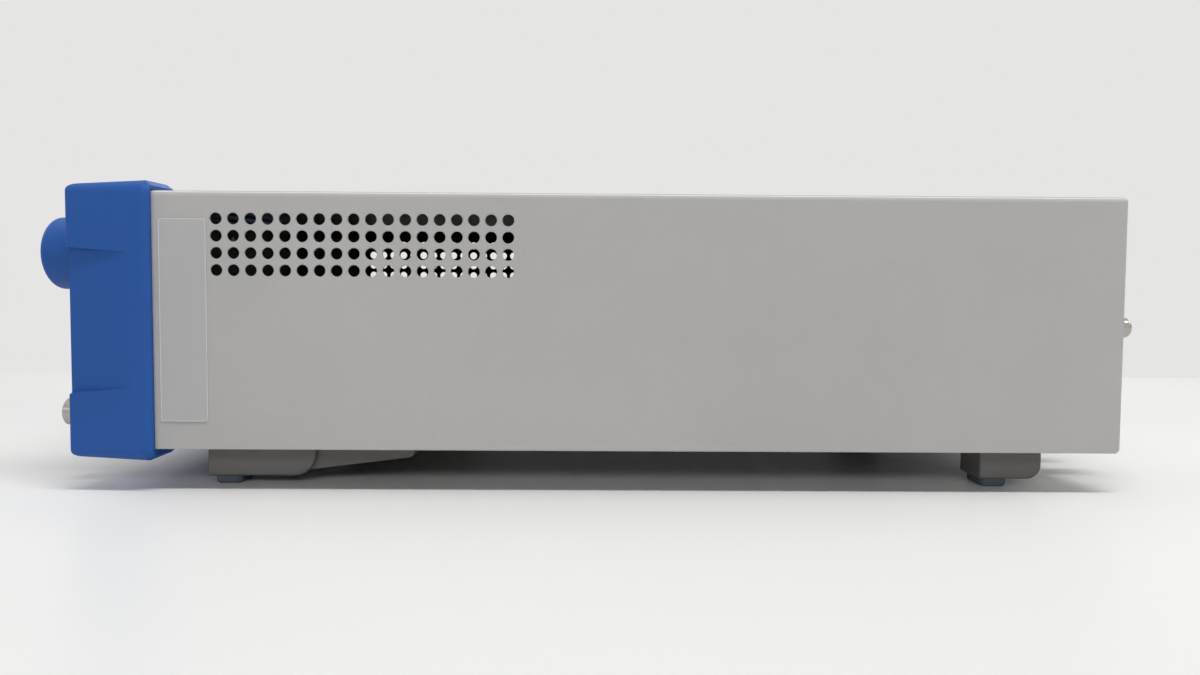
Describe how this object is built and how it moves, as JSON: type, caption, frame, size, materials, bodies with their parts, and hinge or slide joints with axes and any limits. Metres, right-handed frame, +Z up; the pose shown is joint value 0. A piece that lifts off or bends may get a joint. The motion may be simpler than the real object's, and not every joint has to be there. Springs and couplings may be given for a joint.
{
  "type": "bench frequency counter",
  "caption": "Half-rack bench frequency counter: blue bumper bezel with dial, keys and bayonet jacks, grey folded case with side vents, feet with tilt legs.",
  "frame": {"origin": "on the standing surface, under the middle of the overall width and length", "axes": "+X to the right seen from the front, +Y to the rear, +Z up"},
  "size_m": [0.2164, 0.3872, 0.1058],
  "materials": {
    "cover_paint": "fine-textured powder coat, matt",
    "zinc_steel": "zinc-plated sheet, satin",
    "rear_paint": "fine-textured powder coat, matt",
    "blue_plastic": "fine-grained moulding, semi-matt",
    "panel_plastic": "fine-grained moulding, matt",
    "window_tint": "smoked clear plastic, glossy",
    "label_film": "blank printed film, matt",
    "foot_plastic": "moulded, matt",
    "pad_rubber": "soft, matt",
    "circuit_board": "solder mask over glass laminate",
    "display_black": "dark face, satin",
    "switch_black": "moulded, matt",
    "key_grey": "soft-touch moulding, matt",
    "encoder_metal": "die-cast and turned, satin",
    "nickel": "bright nickel plate",
    "white_insulator": "turned, satin",
    "contact_gold": "gold-plated",
    "lamp_green": "clear tinted epoxy",
    "tinned_can": "tinned, satin",
    "core_steel": "varnished laminations",
    "coil_tape": "yellow tape over the winding",
    "capacitor_sleeve": "shrunk sleeve",
    "ribbon_grey": "moulded flat cable",
    "inlet_black": "moulded, satin",
    "blade_brass": "nickel-plated brass",
    "socket_metal": "tinned, satin",
    "screw_steel": "zinc-plated"
  },
  "bodies": {
    "counter": {"top_cover": "cover_paint", "chassis_tray": "zinc_steel", "rear_panel": "rear_paint", "front_bezel": "blue_plastic", "front_panel": "panel_plastic", "display_window": "window_tint", "side_label": "label_film", "front_foot_left": "foot_plastic", "front_foot_right": "foot_plastic", "rear_foot_left": "foot_plastic", "rear_foot_right": "foot_plastic", "foot_pads": "pad_rubber", "front_board": "circuit_board", "digit_modules": "display_black", "key_switches": "switch_black", "power_switch": "switch_black", "encoder_body": "encoder_metal", "encoder_nut": "zinc_steel", "jack_shells": "nickel", "jack_insulators": "white_insulator", "jack_contacts": "contact_gold", "jack_nuts": "nickel", "input_lamps": "lamp_green", "main_board": "circuit_board", "supply_board": "circuit_board", "board_standoffs": "zinc_steel", "input_shield": "tinned_can", "reference_oven": "tinned_can", "board_chips": "switch_black", "transformer_core": "core_steel", "transformer_coil": "coil_tape", "supply_capacitors": "capacitor_sleeve", "ribbon_cable": "ribbon_grey", "mains_inlet": "inlet_black", "inlet_blades": "blade_brass", "lan_socket": "socket_metal", "usb_socket": "socket_metal", "earth_terminal": "nickel", "earth_nut": "zinc_steel", "case_screws": "screw_steel", "board_screws": "screw_steel"},
    "key_1": {"key_1": "key_grey"},
    "key_2": {"key_2": "key_grey"},
    "key_3": {"key_3": "key_grey"},
    "key_4": {"key_4": "key_grey"},
    "key_5": {"key_5": "key_grey"},
    "key_6": {"key_6": "key_grey"},
    "key_7": {"key_7": "key_grey"},
    "key_8": {"key_8": "key_grey"},
    "key_9": {"key_9": "key_grey"},
    "soft_key_1": {"soft_key_1": "key_grey"},
    "soft_key_2": {"soft_key_2": "key_grey"},
    "soft_key_3": {"soft_key_3": "key_grey"},
    "soft_key_4": {"soft_key_4": "key_grey"},
    "power_button": {"power_button": "key_grey"},
    "dial": {"dial_knob": "blue_plastic", "encoder_shaft": "encoder_metal"},
    "tilt_leg_left": {"tilt_leg_left": "foot_plastic"},
    "tilt_leg_right": {"tilt_leg_right": "foot_plastic"},
    "fuse_drawer": {"fuse_drawer": "inlet_black"}
  },
  "joints": [
    {"name": "key_1_press", "type": "slide", "parent": "counter", "child": "key_1", "axis": [0, 1, 0], "range_m": [0, 0.0008], "stiffness_N_per_m": 1500},
    {"name": "key_2_press", "type": "slide", "parent": "counter", "child": "key_2", "axis": [0, 1, 0], "range_m": [0, 0.0008], "stiffness_N_per_m": 1500},
    {"name": "key_3_press", "type": "slide", "parent": "counter", "child": "key_3", "axis": [0, 1, 0], "range_m": [0, 0.0008], "stiffness_N_per_m": 1500},
    {"name": "key_4_press", "type": "slide", "parent": "counter", "child": "key_4", "axis": [0, 1, 0], "range_m": [0, 0.0008], "stiffness_N_per_m": 1500},
    {"name": "key_5_press", "type": "slide", "parent": "counter", "child": "key_5", "axis": [0, 1, 0], "range_m": [0, 0.0008], "stiffness_N_per_m": 1500},
    {"name": "key_6_press", "type": "slide", "parent": "counter", "child": "key_6", "axis": [0, 1, 0], "range_m": [0, 0.0008], "stiffness_N_per_m": 1500},
    {"name": "key_7_press", "type": "slide", "parent": "counter", "child": "key_7", "axis": [0, 1, 0], "range_m": [0, 0.0008], "stiffness_N_per_m": 1500},
    {"name": "key_8_press", "type": "slide", "parent": "counter", "child": "key_8", "axis": [0, 1, 0], "range_m": [0, 0.0008], "stiffness_N_per_m": 1500},
    {"name": "key_9_press", "type": "slide", "parent": "counter", "child": "key_9", "axis": [0, 1, 0], "range_m": [0, 0.0008], "stiffness_N_per_m": 1500},
    {"name": "soft_key_1_press", "type": "slide", "parent": "counter", "child": "soft_key_1", "axis": [0, 1, 0], "range_m": [0, 0.0008], "stiffness_N_per_m": 1500},
    {"name": "soft_key_2_press", "type": "slide", "parent": "counter", "child": "soft_key_2", "axis": [0, 1, 0], "range_m": [0, 0.0008], "stiffness_N_per_m": 1500},
    {"name": "soft_key_3_press", "type": "slide", "parent": "counter", "child": "soft_key_3", "axis": [0, 1, 0], "range_m": [0, 0.0008], "stiffness_N_per_m": 1500},
    {"name": "soft_key_4_press", "type": "slide", "parent": "counter", "child": "soft_key_4", "axis": [0, 1, 0], "range_m": [0, 0.0008], "stiffness_N_per_m": 1500},
    {"name": "power_press", "type": "slide", "parent": "counter", "child": "power_button", "axis": [0, 1, 0], "range_m": [0, 0.0025], "stiffness_N_per_m": 800},
    {"name": "dial_turn", "type": "hinge", "parent": "counter", "child": "dial", "pos_m": [0.085, -0.17475, 0.0816], "axis": [0, -1, 0], "continuous": true},
    {"name": "leg_swing_left", "type": "hinge", "parent": "counter", "child": "tilt_leg_left", "pos_m": [-0.0856, -0.10765, 0.011], "axis": [-1, 0, 0], "range_deg": [0, 90]},
    {"name": "leg_swing_right", "type": "hinge", "parent": "counter", "child": "tilt_leg_right", "pos_m": [0.0856, -0.10765, 0.011], "axis": [-1, 0, 0], "range_deg": [0, 90]},
    {"name": "fuse_drawer_pull", "type": "slide", "parent": "counter", "child": "fuse_drawer", "axis": [0, 1, 0], "range_m": [0, 0.012]}
  ]
}
